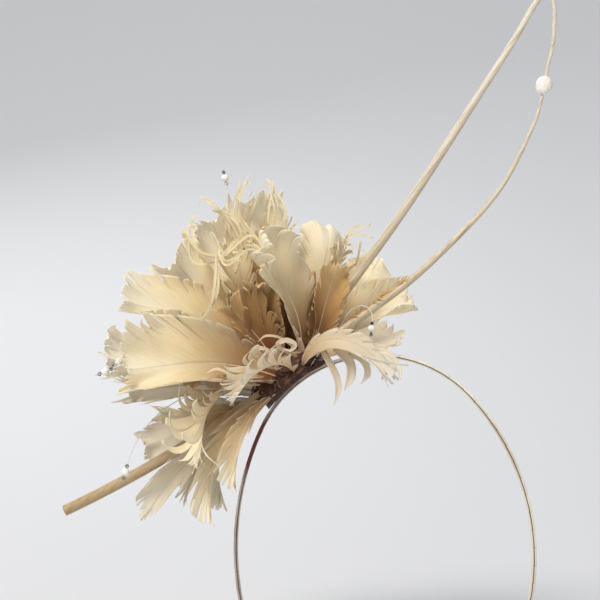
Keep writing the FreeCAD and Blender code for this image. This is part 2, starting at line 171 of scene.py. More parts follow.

# ---- Band ----------------------------------------------------------------------------------------
# A springy strip wound edge to edge with satin ribbon, so that slanting seams run round it. Each half
# of the ribbon runs from under the base over the crown's end and down a leg, along that leg's curve.
SEAT_ANGLE = -38.0  # degrees from the top, negative to the left
CROWN_RADIUS = 64.5
BAND_WIDTH = 5.9
BAND_THICKNESS = 2.0
BAND_EDGE = 0.55  # how far its four edges are rounded
SEAM_PITCH = 9.0  # from one turn of the ribbon to the next
SEAM_SLANT = 0.9
SEAM_STEP = 0.12  # how much each turn stands over the last one
DARK_LINE_DEPTH = 1.25  # the near-black line on the band's sides, this far in from the outer face


def turned(angle):
    """Unit vector at an angle in degrees from the top of the band, positive to the right."""
    return np.array([math.sin(math.radians(angle)), 0, math.cos(math.radians(angle))])


def own_mesh(name, verts, faces, material):
    """A piece from points in mm, smooth shaded."""
    mesh = bpy.data.meshes.new(name)
    mesh.from_pydata(np.array(verts) * MM, [], faces)
    mesh.shade_smooth()
    mesh.materials.append(material)
    piece = bpy.data.objects.new(name, mesh)
    bpy.context.collection.objects.link(piece)
    return piece


def set_uv(mesh, name, uv, faces):
    """A UV map from one pair of numbers for each point."""
    layer = mesh.uv_layers.new(name=name)
    layer.data.foreach_set("uv", np.array(uv)[[i for f in faces for i in f]].ravel())


def satin(name, ribbon, shade, zone_tint):
    """Satin ribbon. Its UV maps run along and across the band, and in from its outer face, all in mm."""
    material, shader, add, link = nodes_of(name)
    uv = add("ShaderNodeUVMap", uv_map="Wrap").outputs["UV"]
    wrap = add("ShaderNodeSeparateXYZ", {"Vector": uv}).outputs
    slant = maths(add, "MULTIPLY_ADD", wrap["Y"], SEAM_SLANT, wrap["X"])
    place = maths(add, "FRACT", maths(add, "DIVIDE", slant, SEAM_PITCH))
    # Painted shading of each turn of ribbon: shade in the groove at the seam, lit just past it, a little
    # dimmer across the turn and shaded again at its far edge. The same ramp also raises the seam's relief.
    groove_shade, lit, dimmer_lit, edge = (0.6, 0.58, 0.55), (1, 1, 1), (0.95, 0.95, 0.95), (0.62, 0.6, 0.56)
    seam_shade_and_relief = ramp(add, place, [(0.0, groove_shade), (0.06, lit), (0.93, dimmer_lit), (1.0, edge)])

    where = add("ShaderNodeTexCoord").outputs["Object"]
    cloud = noise(add, where, 60.0, Detail=3.0)
    colour = ramp(add, cloud, [(0.35, shade), (0.65, ribbon)])
    # A second colour mixed in by height, with a ragged edge: none high on the band, full a little lower,
    # faint further down.
    up = add("ShaderNodeSeparateXYZ", {"Vector": where}).outputs["Z"]
    height = maths(add, "MULTIPLY_ADD", up, 8.0, 0.6)
    ragged = maths(add, "MULTIPLY_ADD", cloud, 0.12, height)
    faint, slight, full, untinted = (tuple([x] * 3) for x in (0.35, 0.15, 1, 0))
    zone_mask = ramp(add, ragged, [(0.2, faint), (0.66, slight), (0.74, full), (0.9, full), (0.96, untinted)])
    colour = mix(add, zone_mask, colour, (*zone_tint, 1))
    # The painted seam shading is multiplied into the colour.
    colour = mix(add, 0.6, colour, seam_shade_and_relief, "MULTIPLY")

    # A near-black line along the band's sides, a set depth in from the outer face.
    depth = add("ShaderNodeUVMap", uv_map="Depth").outputs["UV"]
    inward = add("ShaderNodeSeparateXYZ", {"Vector": depth}).outputs["X"]
    from_line = maths(add, "ABSOLUTE", maths(add, "ADD", inward, -DARK_LINE_DEPTH))
    line = ramp(add, from_line, [(0.0, (1, 1, 1)), (0.22, (0.9, 0.9, 0.9)), (0.34, (0, 0, 0))])
    link(mix(add, line, colour, (0.05, 0.035, 0.025, 1)), "Base Color")

    stretched = add("ShaderNodeMapping", {"Vector": uv, "Scale": (0.4, 14.0, 1.0)}).outputs["Vector"]
    threads = noise(add, stretched, 1.0, Detail=2.0)
    roughen(add, link, maths(add, "MULTIPLY_ADD", seam_shade_and_relief, 2.0, threads), 0.5, 0.0002)
    shader.inputs["Roughness"].default_value = 0.38
    shader.inputs["Anisotropic"].default_value = 0.4
    shader.inputs["Sheen Weight"].default_value = 0.3
    return material


def band_run(point, leg_radius, leg_angle):
    """How far a point, in mm, is along the band from the top, and the direction out from it there."""
    side = math.copysign(1, leg_angle)
    about = point - turned(leg_angle) * (CROWN_RADIUS - leg_radius)
    past = side * math.degrees(math.atan2(about[0], about[2])) - abs(leg_angle)
    if past > 0:
        run = math.radians(abs(leg_angle)) * CROWN_RADIUS + math.radians(past) * leg_radius
        return run, about / np.linalg.norm(about)
    return side * math.atan2(point[0], point[2]) * CROWN_RADIUS, point / np.linalg.norm(point)


def make_ribbon(name, leg_angle, leg_radius, leg_span, material, nodes):
    """Half of the ribbon: the band's cut face swept along the crown, and on down one leg."""
    side = math.copysign(1, leg_angle)
    middle = CROWN_RADIUS - BAND_THICKNESS / 2
    crown_sweep = math.radians(leg_angle - SEAT_ANGLE)
    leg_sweep = math.radians(leg_span) * side
    centre = turned(leg_angle) * (CROWN_RADIUS - leg_radius) * MM
    bpy.ops.object.select_all(action="DESELECT")
    bpy.ops.mesh.primitive_plane_add(size=MM)
    bpy.ops.object.mode_set(mode="EDIT")
    bpy.ops.transform.resize(value=(BAND_THICKNESS, BAND_WIDTH, 1))
    bpy.ops.mesh.bevel(affect="VERTICES", offset=BAND_EDGE * MM, segments=3)
    upright = -math.radians(SEAT_ANGLE - 90)
    bpy.ops.transform.rotate(value=upright, orient_axis="Y", center_override=(0, 0, 0))
    bpy.ops.transform.translate(value=turned(SEAT_ANGLE) * middle * MM)
    steps = max(8, int(abs(crown_sweep) * 40))
    bpy.ops.mesh.spin(steps=steps, angle=-crown_sweep, center=(0, 0, 0), axis=(0, 1, 0))
    bpy.ops.mesh.spin(steps=int(leg_span * 1.2), angle=-leg_sweep, center=centre, axis=(0, 1, 0))
    bpy.ops.mesh.select_all(action="SELECT")
    bpy.ops.mesh.remove_doubles(threshold=1e-6)
    bpy.ops.mesh.normals_make_consistent(inside=False)
    bpy.ops.object.mode_set(mode="OBJECT")
    piece = bpy.context.object
    piece.name = piece.data.name = name
    bpy.ops.object.shade_smooth_by_angle(angle=math.radians(50))

    wrap = piece.data.uv_layers.new(name="Wrap")
    points = [np.array(v.co) / MM for v in piece.data.vertices]
    runs = [band_run(p, leg_radius, leg_angle) for p in points]
    depth = piece.data.uv_layers.new(name="Depth")
    for loop in piece.data.loops:
        point, run = points[loop.vertex_index], runs[loop.vertex_index][0]
        wrap.data[loop.index].uv = (run, point[1])
        outer = leg_radius if run > math.radians(abs(leg_angle)) * CROWN_RADIUS else CROWN_RADIUS
        about = point - turned(leg_angle) * (CROWN_RADIUS - outer)
        depth.data[loop.index].uv = (outer - np.hypot(about[0], about[2]), 0)
    for vertex, (run, out) in zip(piece.data.vertices, runs):
        turn = (run + SEAM_SLANT * vertex.co.y / MM) / SEAM_PITCH % 1
        vertex.co += Vector(out * SEAM_STEP * (turn - 0.5) * MM)
    piece.data.materials.clear()
    piece.data.materials.append(material)

    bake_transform(piece)
    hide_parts(*nodes)


def dress(material, *names):
    """Gives CAD nodes a material."""
    for name in names:
        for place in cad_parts[name].material_slots:
            place.material = material


# The left half's satin is darker, with a dark red second colour; the right half's is cream.
cream_satin = satin("cream satin", (0.86, 0.8, 0.66), (0.74, 0.67, 0.53), (0.66, 0.56, 0.42))
darker_satin = satin("darker satin", (0.66, 0.63, 0.57), (0.5, 0.45, 0.38), (0.2, 0.025, 0.012))
make_ribbon(
    "ribbon_left", leg_angle=-66.0, leg_radius=144.5, leg_span=43.0, material=darker_satin,
    nodes=["left_leg_ribbon", "crown_ribbon"],
)
make_ribbon(
    "ribbon_right", leg_angle=46.0, leg_radius=118.5, leg_span=64.0, material=cream_satin,
    nodes=["right_leg_ribbon"],
)

cuff_satin, shader, add, link = nodes_of("cuff satin")
where = add("ShaderNodeTexCoord").outputs["Object"]
threads = noise(add, where, 1400.0, Detail=2.0)
link(ramp(add, threads, [(0.3, (0.55, 0.48, 0.35)), (0.7, (0.74, 0.67, 0.52))]), "Base Color")
roughen(add, link, threads, 0.3, 0.0001)
shader.inputs["Roughness"].default_value = 0.4
dress(cuff_satin, "left_tip_cuff", "right_tip_cuff")

steel, shader, add, link = nodes_of("spring steel strip")
where = add("ShaderNodeTexCoord").outputs["Object"]
brushed = add("ShaderNodeMapping", {"Vector": where, "Scale": (200.0, 6000.0, 200.0)}).outputs["Vector"]
scratches = noise(add, brushed, 1.0)
link(ramp(add, scratches, [(0.3, (0.3, 0.3, 0.31)), (0.7, (0.5, 0.5, 0.52))]), "Base Color")
shader.inputs["Metallic"].default_value = 1.0
shader.inputs["Roughness"].default_value = 0.35
dress(steel, "crown_core", "left_leg_core", "right_leg_core")

# ---- Base ----------------------------------------------------------------------------------------
# A round of stiff brown sinamay straw, pressed to the band's curve and stuck down with clear glue.
# Torn strips of the same straw are laid over its front to hide the feathers' feet.
sinamay, shader, add, link = nodes_of("brown sinamay")
where = add("ShaderNodeTexCoord").outputs["Object"]
weave = []
for direction in ((2300.0, 150.0, 2300.0), (150.0, 2300.0, 150.0)):
    lie = add("ShaderNodeMapping", {"Vector": where, "Scale": direction}).outputs["Vector"]
    weave.append(noise(add, lie, 1.0, Detail=2.0))
straw = maths(add, "MAXIMUM", weave[0], weave[1])
fibres = [(0.4, (0.012, 0.005, 0.004)), (0.55, (0.06, 0.022, 0.016)), (0.72, (0.2, 0.09, 0.05))]
link(ramp(add, straw, fibres), "Base Color")
roughen(add, link, straw, 0.8, 0.0005)
shader.inputs["Roughness"].default_value = 0.7
dress(sinamay, "sinamay_base")

clear_glue, shader, add, link = nodes_of("dried glue")
where = add("ShaderNodeTexCoord").outputs["Object"]
lumps = noise(add, where, 500.0)
link(ramp(add, lumps, [(0.3, (0.1, 0.05, 0.03)), (0.7, (0.35, 0.26, 0.16))]), "Base Color")
roughen(add, link, lumps, 0.6, 0.0004)
shader.inputs["Roughness"].default_value = 0.25
dress(clear_glue, "glue_bed")

gather_straw, shader, add, link = nodes_of("gathered straw")
uv = add("ShaderNodeUVMap", uv_map="Straw").outputs["UV"]
lie = add("ShaderNodeMapping", {"Vector": uv, "Scale": (3.0, 160.0, 1.0)}).outputs["Vector"]
straw = noise(add, lie, 1.0, Detail=4.0)
where = add("ShaderNodeTexCoord").outputs["Object"]
patch = noise(add, where, 130.0)
dark = [(0.35, (0.01, 0.004, 0.003)), (0.52, (0.07, 0.02, 0.014)), (0.7, (0.25, 0.12, 0.06))]
brown = [(0.35, (0.06, 0.02, 0.008)), (0.55, (0.25, 0.12, 0.05)), (0.7, (0.5, 0.33, 0.17))]
patches = ramp(add, patch, [(0.5, (0, 0, 0)), (0.62, (1, 1, 1))])
link(mix(add, patches, ramp(add, straw, dark), ramp(add, straw, brown)), "Base Color")
roughen(add, link, straw, 0.9, 0.0006)
shader.inputs["Roughness"].default_value = 0.6

BASE_INNER = 65.1  # from the middle of the crown's arc to the base's underside
BASE_TOP = 68.1
GATHER_START = -19.0  # along the band from the base's middle
GATHER_END = 17.5
GATHER_REACH = 18.6  # to the front and the back of the base's middle
GATHER_HEIGHT = 8.0
ALONG, AROUND = 44, 40
rng = np.random.default_rng(3)
ripple = rng.uniform(0, 6.28, 4)
verts, faces, uv = [], [], []
for a in np.linspace(GATHER_START, GATHER_END, ALONG):
    reach = math.sqrt(1 - (a / 19.6) ** 2)
    out = turned(SEAT_ANGLE + math.degrees(a / BASE_TOP))
    for j, b in enumerate(np.linspace(0, 2 * math.pi, AROUND, endpoint=False)):
        folds = 1 + 0.1 * math.sin(5 * b + a * 0.5 + ripple[0])
        folds += 0.07 * math.sin(9 * b - a * 0.8 + ripple[1])
        folds += 0.05 * math.sin(a * 2.1 + 3 * b)
        heap = (GATHER_HEIGHT * folds * reach**0.7 + 0.4) * max(0.0, math.sin(b)) ** 0.35
        rise = 2.9 + heap - 1.2 * max(0.0, -math.sin(b))
        verts.append(out * (BASE_INNER + rise) + np.array([0, -GATHER_REACH * reach * math.cos(b), 0]))
        uv.append((a / 40, j / AROUND))
for i in range(ALONG - 1):
    for j in range(AROUND):
        k = (j + 1) % AROUND
        faces.append((i * AROUND + j, i * AROUND + k, (i + 1) * AROUND + k, (i + 1) * AROUND + j))
faces.append(tuple(range(AROUND)))
faces.append(tuple((ALONG - 1) * AROUND + j for j in reversed(range(AROUND))))
gather = own_mesh("straw_gather", verts, faces, gather_straw)
set_uv(gather.data, "Straw", uv, faces)
bpy.ops.object.select_all(action="DESELECT")
bpy.context.view_layer.objects.active = gather
gather.select_set(True)
bpy.ops.object.mode_set(mode="EDIT")
bpy.ops.mesh.select_all(action="SELECT")
bpy.ops.mesh.normals_make_consistent(inside=False)
bpy.ops.object.mode_set(mode="OBJECT")
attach(gather, "crown")

# ---- Quills --------------------------------------------------------------------------------------
# Two long feather shafts with their barbs stripped off, scraped smooth, so that streaks of horn run
# along them. The curved one is bound to the base with thread, and both tips are glued into a pearl.
quill_horn, shader, add, link = nodes_of("quill horn")
where = add("ShaderNodeTexCoord").outputs["Object"]
turn = (0.0, math.radians(50), 0.0)
leaning = add("ShaderNodeMapping", {"Vector": where, "Rotation": turn}).outputs["Vector"]
lie = add("ShaderNodeMapping", {"Vector": leaning, "Scale": (25.0, 900.0, 900.0)}).outputs["Vector"]
streak = noise(add, lie, 1.0, Detail=5.0, Roughness=0.6)
# Darker towards the bottom, paler towards the top.
low = add("ShaderNodeSeparateXYZ", {"Vector": where}).outputs["Z"]
height = maths(add, "MULTIPLY_ADD", low, 3.2, 0.18)
lowest, low_down, high_up, top = (0.42, 0.29, 0.15), (0.52, 0.4, 0.23), (0.62, 0.56, 0.42), (0.74, 0.7, 0.6)
pale = ramp(add, height, [(0.0, lowest), (0.3, low_down), (0.6, high_up), (0.95, top)])
tint = ramp(add, streak, [(0.3, (0.55, 0.45, 0.33)), (0.5, (0.9, 0.86, 0.78)), (0.7, (1, 1, 1))])
colour = mix(add, 0.8, pale, tint, "MULTIPLY")
link(colour, "Base Color")
roughen(add, link, streak, 0.3, 0.0003)
shader.inputs["Roughness"].default_value = 0.42
shader.inputs["Subsurface Weight"].default_value = 0.15
shader.inputs["Subsurface Scale"].default_value = 0.003
dress(quill_horn, "curved_quill", "straight_quill")

thread, shader, add, link = nodes_of("binding thread")
where = add("ShaderNodeTexCoord").outputs["Object"]
twist = add("ShaderNodeTexWave", {"Vector": where, "Scale": 900.0, "Distortion": 2.0}).outputs["Fac"]
link(ramp(add, twist, [(0.2, (0.1, 0.05, 0.03)), (0.8, (0.36, 0.24, 0.15))]), "Base Color")
roughen(add, link, twist, 0.5, 0.0001)
shader.inputs["Roughness"].default_value = 0.75
dress(thread, "quill_lashing")

nacre, shader, add, link = nodes_of("nacre")
where = add("ShaderNodeTexCoord").outputs["Object"]
layers = noise(add, where, 260.0, Detail=4.0, Distortion=1.2)
lustre = [(0.3, (0.78, 0.7, 0.56)), (0.55, (0.9, 0.87, 0.8)), (0.75, (0.86, 0.84, 0.86))]
link(ramp(add, layers, lustre), "Base Color")
roughen(add, link, layers, 0.08, 0.0004)
shader.inputs["Roughness"].default_value = 0.22
shader.inputs["Subsurface Weight"].default_value = 0.25
shader.inputs["Subsurface Scale"].default_value = 0.002
shader.inputs["Coat Weight"].default_value = 0.6
shader.inputs["Coat Roughness"].default_value = 0.1
SPRAYS = ("spray_top", "spray_left", "spray_far_left", "spray_low", "spray_right", "spray_front")
dress(nacre, "quill_pearl", *[name + "_pearl" for name in SPRAYS])

# ---- Beaded lines --------------------------------------------------------------------------------
# Stiff clear beading wire with a small pearl between two cut crystals at its end, silver foil behind
# the glass. Its knotted foot is pushed into the base.
foiled_glass, shader, add, link = nodes_of("foiled glass")
where = add("ShaderNodeTexCoord").outputs["Object"]
facet = add("ShaderNodeTexVoronoi", {"Vector": where, "Scale": 900.0}).outputs["Color"]
tone = add("ShaderNodeSeparateXYZ", {"Vector": facet}).outputs["X"]
glints = [(0.1, (0.03, 0.035, 0.045)), (0.5, (0.3, 0.32, 0.36)), (0.9, (0.85, 0.87, 0.9))]
link(ramp(add, tone, glints), "Base Color")
shader.inputs["Metallic"].default_value = 0.85
shader.inputs["Roughness"].default_value = 0.12
dress(foiled_glass, *[name + "_crystals" for name in SPRAYS])

wire, shader, add, link = nodes_of("beading wire")
where = add("ShaderNodeTexCoord").outputs["Object"]
scuff = noise(add, where, 800.0)
link(ramp(add, scuff, [(0.3, (0.62, 0.6, 0.55)), (0.7, (0.82, 0.8, 0.75))]), "Base Color")
shader.inputs["Roughness"].default_value = 0.2
dress(wire, *[name + "_line" for name in SPRAYS])

# ---- Feathers ------------------------------------------------------------------------------------
# Goose feathers with their barbs left on, steamed and curled over a blade, so that each vane is a
# cupped sheet that splits into curled locks at its edges. Their bare feet stand in the base.
FOOT_SINK = 1.2  # how far a foot goes into the base
VANE_WALL = 0.12
STEM_SIDES = 6


def seat_point(along, front, height=0.0):
    """A point over the base, in mm, at a distance along the band and to the front of its middle."""
    out = turned(SEAT_ANGLE + math.degrees(along / BASE_TOP))
    return out * (BASE_TOP + height) - np.array([0, front, 0])


def from_seat(right, front, up):
    """A point, in mm, given from the middle of the base's top."""
    return seat_point(0, 0) + np.array([right, -front, up])


def unit(v):
    return v / np.linalg.norm(v, axis=-1, keepdims=True)


def spun(v, axis, angle):
    """v turned about an axis; the three may be whole rows of vectors."""
    angle = np.asarray(angle, float)[..., None]
    axis = np.broadcast_to(axis, v.shape)
    along = (v * axis).sum(-1, keepdims=True) * axis
    return v * np.cos(angle) + np.cross(axis, v) * np.sin(angle) + along * (1 - np.cos(angle))


def smooth(low, high, x):
    """0 below low, 1 above high, with a soft step between them."""
    x = np.clip((x - low) / (high - low), 0, 1)
    return x * x * (3 - 2 * x)


def spine(foot, middle, tip, face, curl, curl_from, twist, steps=48):
    """A feather's shaft: points, directions, facings and sides along it, evenly spaced."""
    first = seat_point(*foot, -FOOT_SINK)
    second, last = from_seat(*middle), from_seat(*tip)
    a, b = second - first, last - first
    across = np.cross(a, b)
    to_centre = (np.cross(across, a) * (b @ b) + np.cross(b, across) * (a @ a)) / (2 * across @ across)
    centre, axis = first + to_centre, unit(across)
    start, end = first - centre, last - centre
    turn = math.atan2(np.cross(start, end) @ axis, start @ end) % (2 * math.pi)
    length = turn * np.linalg.norm(to_centre)
    ahead = unit(np.cross(axis, start))
    halfway = spun(ahead, axis, turn / 2)
    wanted = np.array([face[0], -face[1], face[2]])
    out = np.cross(axis, halfway)
    roll = math.atan2(wanted @ axis, wanted @ out)
    facing = np.cross(axis, ahead) * math.cos(roll) + axis * math.sin(roll)
    point, rows = first, []
    for i in range(steps + 1):
        side = np.cross(facing, ahead)
        rows.append((point, ahead, facing, side))
        t = (i + 0.5) / steps
        past = max(0.0, t - curl_from) / (1 - curl_from)
        bend = 2 * past * math.radians(curl) / steps / (1 - curl_from)
        ahead, facing = spun(ahead, axis, turn / steps), spun(facing, axis, turn / steps)
        ahead, facing = spun(ahead, side, -bend), spun(facing, side, -bend)
        facing = spun(facing, ahead, math.radians(twist) / steps)
        point = point + ahead * (length / steps)
    return [np.array(x) for x in zip(*rows)], length


def at(rows, t):
    """Values read between the evenly spaced rows of a shaft."""
    place = np.clip(t, 0, 1) * (len(rows) - 1)
    low = np.minimum(place.astype(int), len(rows) - 2)
    share = (place - low)[..., None]
    return rows[low] * (1 - share) + rows[low + 1] * share


def barbs(shaft, t, side, lean, cup, roll, sweep, reach, loose, wander, hook, stretch):
    """Points along the barbs that leave the shaft at t. loose says, from the shaft out, how free the lock
    is of its neighbours, and wander, hook and stretch what it does where it is free."""
    points, ahead, facing, across = (at(rows, t) for rows in shaft)
    v = np.linspace(0, 1, len(loose))
    turn = lean[:, None] * (1 - sweep * v) + wander * loose
    lift = cup[:, None] * v**1.2 + roll[:, None] * v**5 + hook * loose**1.4
    flat = ahead[:, None] * np.cos(turn)[..., None] + across[:, None] * (side * np.sin(turn))[..., None]
    way = flat * np.cos(lift)[..., None] + facing[:, None] * np.sin(lift)[..., None]
    step = reach[:, None] / (len(v) - 1) * (1 + (stretch - 1) * loose)
    run = np.cumsum(way * step[..., None], axis=1) - way[:, :1] * step[:, :1, None]
    return points[:, None] + run


def grid_faces(first, rows, columns):
    """Four-sided faces over rows of points, the first point being number first."""
    faces = []
    for i in range(rows - 1):
        for j in range(columns - 1):
            a = first + i * columns + j
            faces.append((a, a + 1, a + columns + 1, a + columns))
    return faces


WIDTHS = ([0, 0.05, 0.12, 0.25, 0.45, 0.7, 0.9, 1.0], [0, 0.2, 0.55, 0.9, 1.0, 0.93, 0.68, 0.35])
LEAN = ([0, 0.3, 0.6, 0.85, 1.0], [52, 40, 30, 17, 5])


def feather(name, foot, middle, tip, width, face, material, seed, curl=40, curl_from=0.6, twist=0,
            ruffle=16, cupped=30, split=0.75, parting=0.3, fray=0.6, locks=17, hook=70, rim=45, sweep=0.3,
            steep=1.0, point=1.0, lopsided=(1, 1), replaced=None):
    """One curled feather. split is where its locks part, from the shaft to the edge, parting how many do,
    hook how far those curl, rim how far the whole edge rolls, ruffle how far it waves, fray how uneven it
    is, steep how much its barbs lean away from the shaft, point how far on they may reach and lopsided the
    two sides' widths."""
    rng = np.random.default_rng(seed)
    shaft, length = spine(foot, middle, tip, face, curl, curl_from, twist)
    verts, faces, uv = [], [], []
    rows, columns = 5, 18
    v = np.linspace(0, 1, columns)
    for side, share in zip((-1, 1), lopsided):
        phase, phase2, phase3 = rng.uniform(0, 6.28, 3)
        edges = np.linspace(0.04, 0.96, locks + 1)
        edges[1:-1] += rng.uniform(-0.4, 0.4, locks - 1) * 0.92 / locks
        for k in range(locks):
            t = np.linspace(edges[k], edges[k + 1], rows)
            half = np.interp(t, *WIDTHS) * width / 2 * share * (1 + 0.06 * np.sin(11 * t + phase))
            lean = np.radians(np.interp(t, *LEAN)) * steep
            to_tip = (1.0 - t) * length * point / np.cos(lean) + 0.08 * width
            reach = np.minimum(half / np.sin(lean), to_tip)
            cup = np.radians(cupped) * np.interp(t, (0, 0.3, 1), (1.3, 1, 0.5))
            cup = cup + np.radians(ruffle) * (np.sin(10.5 * t + phase) + 0.5 * np.sin(25 * t + phase2))
            roll = np.radians(rim) * (0.4 + 0.8 * np.sin(7 * t + phase3) + 0.3 * np.sin(19 * t + phase))
            wild = rng.random() ** 1.6
            free = 1.0 if rng.random() < parting else 0.12
            parted = np.clip(split * (1 - 0.35 * wild) + rng.normal(0, 0.05), 0.12, 0.93)
            loose = smooth(parted, 1.0, v)
            wander = np.radians(fray * (rng.normal(0, 9) + wild * rng.normal(0, 28))) * free
            ends = np.radians(hook) * (0.3 + 0.9 * wild) * (1 if rng.random() < 0.8 else -0.7) * free
            stretch = 1 + fray * (rng.uniform(-0.3, 0.12) + 0.25 * wild) * free
            line = barbs(shaft, t, side, lean, cup, roll, sweep, reach, loose, wander, ends, stretch)
            taper = (loose**1.2 * rng.uniform(0.55, 0.96) * min(1, free * 2.2))[None, :, None]
            line = line * (1 - taper) + line.mean(0, keepdims=True) * taper
            first = len(verts)
            verts.extend(line.reshape(-1, 3))
            cells = grid_faces(first, rows, columns)
            if side > 0:
                cells = [c[::-1] for c in cells]
            faces.extend(cells)
            uv.extend((x, y) for x in t for y in v)
    piece = own_mesh(name, verts, faces, material)
    set_uv(piece.data, "Vane", uv, faces)
    weld = piece.modifiers.new("weld", "WELD")
    weld.merge_threshold = 0.002 * MM
    wall = piece.modifiers.new("wall", "SOLIDIFY")
    wall.thickness = VANE_WALL * MM
    wall.offset = 0
    add_shaft(piece, shaft, length, 0.45 if width > 24 else 0.3)
    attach(piece, "crown")
    if replaced:
        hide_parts(replaced)


def add_shaft(piece, shaft, length, thick):
    """The feather's stem, joined to its vane."""
    points, _, facing, across = shaft
    verts, faces = [], []
    count = len(points)
    for i in range(count):
        radius = thick * (1 - 0.8 * i / (count - 1))
        for j in range(STEM_SIDES):
            a = 2 * math.pi * j / STEM_SIDES
            verts.append(points[i] + radius * (across[i] * math.cos(a) + facing[i] * math.sin(a)))
    for i in range(count - 1):
        for j in range(STEM_SIDES):
            a, b = i * STEM_SIDES + j, i * STEM_SIDES + (j + 1) % STEM_SIDES
            faces.append((a, a + STEM_SIDES, b + STEM_SIDES, b))
    faces.append(tuple(range(STEM_SIDES)))
    faces.append(tuple(reversed(range((count - 1) * STEM_SIDES, count * STEM_SIDES))))
    stem = own_mesh(piece.name + "_stem", verts, faces, stem_material)
    bpy.ops.object.select_all(action="DESELECT")
    bpy.context.view_layer.objects.active = piece
    piece.select_set(True)
    bpy.ops.object.modifier_apply(modifier="weld")
    bpy.ops.object.modifier_apply(modifier="wall")
    stem.select_set(True)
    bpy.ops.object.join()


def feather_material(name, root_shade, heart, vane, edge, glow):
    """Colours from the foot of a feather to its edge, with fine barbs across the vane, and painted shade
    that darkens it towards its foot and near the middle of the base.
    """
    material, shader, add, link = nodes_of(name)
    uv = add("ShaderNodeUVMap", uv_map="Vane").outputs["UV"]
    parts = add("ShaderNodeSeparateXYZ", {"Vector": uv})
    along, out = parts.outputs["X"], parts.outputs["Y"]
    where = add("ShaderNodeTexCoord").outputs["Object"]
    cloud = noise(add, where, 70.0, Detail=3.0)
    shifted = maths(add, "MULTIPLY_ADD", cloud, 0.22, -0.11)
    place = maths(add, "ADD", along, shifted)
    # Painted shade: the root and heart colours darken each feather towards its foot, deep in the flower.
    colour = ramp(add, place, [(0.04, root_shade), (0.2, heart), (0.48, vane), (0.92, edge)])
    # Painted shade: the colour is mixed towards the root colour, most strongly nearest the middle of the
    # base.
    base = tuple(seat_point(0, 0) * MM)
    away = add("ShaderNodeVectorMath", {0: where, 1: base}, operation="DISTANCE").outputs["Value"]
    limits = {"From Min": 0.014, "From Max": 0.064, "To Min": 0.95, "To Max": 0.0}
    heart_shade = add("ShaderNodeMapRange", {"Value": away, **limits}).outputs["Result"]
    colour = mix(add, heart_shade, colour, (*root_shade, 1))
    pale = maths(add, "POWER", out, 2.0)
    pale = maths(add, "MULTIPLY", pale, 0.45)
    colour = mix(add, pale, colour, (*edge, 1))
    fine = add("ShaderNodeMapping", {"Vector": uv, "Scale": (260.0, 2.5, 1.0)}).outputs["Vector"]
    streak = noise(add, fine, 1.0, Detail=4.0)
    tint = ramp(add, streak, [(0.3, (0.8, 0.76, 0.7)), (0.62, (1.0, 1.0, 1.0))])
    colour = mix(add, 0.75, colour, tint, "MULTIPLY")
    link(colour, "Base Color")
    roughen(add, link, streak, 0.35, 0.0002)
    shader.inputs["Roughness"].default_value = 0.55
    shader.inputs["Specular IOR Level"].default_value = 0.3
    shader.inputs["Sheen Weight"].default_value = 0.25
    shader.inputs["Sheen Roughness"].default_value = 0.4
    shader.inputs["Subsurface Weight"].default_value = glow
    shader.inputs["Subsurface Radius"].default_value = (1.0, 0.8, 0.55)
    shader.inputs["Subsurface Scale"].default_value = 0.004
    return material


stem_material, shader, add, link = nodes_of("feather stem")
where = add("ShaderNodeTexCoord").outputs["Object"]
grain = noise(add, where, 500.0, Detail=4.0)
link(ramp(add, grain, [(0.3, (0.6, 0.46, 0.28)), (0.7, (0.8, 0.68, 0.48))]), "Base Color")
shader.inputs["Roughness"].default_value = 0.4

CREAM = feather_material(
    "cream vane", root_shade=(0.22, 0.065, 0.01), heart=(0.6, 0.34, 0.1), vane=(0.86, 0.68, 0.36),
    edge=(0.95, 0.87, 0.63), glow=0.28,
)
# An ivory tone made paler as painted light, for the front feathers that catch the light.
LIT_IVORY = feather_material(
    "lit ivory vane", root_shade=(0.46, 0.27, 0.1), heart=(0.74, 0.56, 0.3), vane=(0.88, 0.77, 0.54),
    edge=(0.94, 0.87, 0.69), glow=0.3,
)
# A dark amber, partly the inner feathers' warmer tone and partly painted shade of the flower's deep heart.
SHADED_AMBER = feather_material(
    "shaded amber vane", root_shade=(0.1, 0.02, 0.003), heart=(0.3, 0.09, 0.012), vane=(0.62, 0.32, 0.08),
    edge=(0.84, 0.6, 0.28), glow=0.15,
)
# A darker, duller copy of the cream, painted shade, for the feathers that hang down and lie underneath.
SHADED_CREAM = feather_material(
    "shaded cream vane", root_shade=(0.3, 0.19, 0.09), heart=(0.5, 0.38, 0.22), vane=(0.7, 0.59, 0.4),
    edge=(0.78, 0.7, 0.52), glow=0.25,
)

# Ways in which the vanes were curled: broad petals, frilled curls and long narrow blades.
PETAL = dict(parting=0.22, fray=0.4, split=0.82)
FRILL = dict(parting=0.9, fray=1.5, split=0.5, hook=120, rim=60)
BLADE = dict(
    parting=0.6, fray=0.9, split=0.4, steep=0.5, hook=25, rim=15, ruffle=8, locks=11, sweep=0.5, cupped=25,
    point=0.8,
)

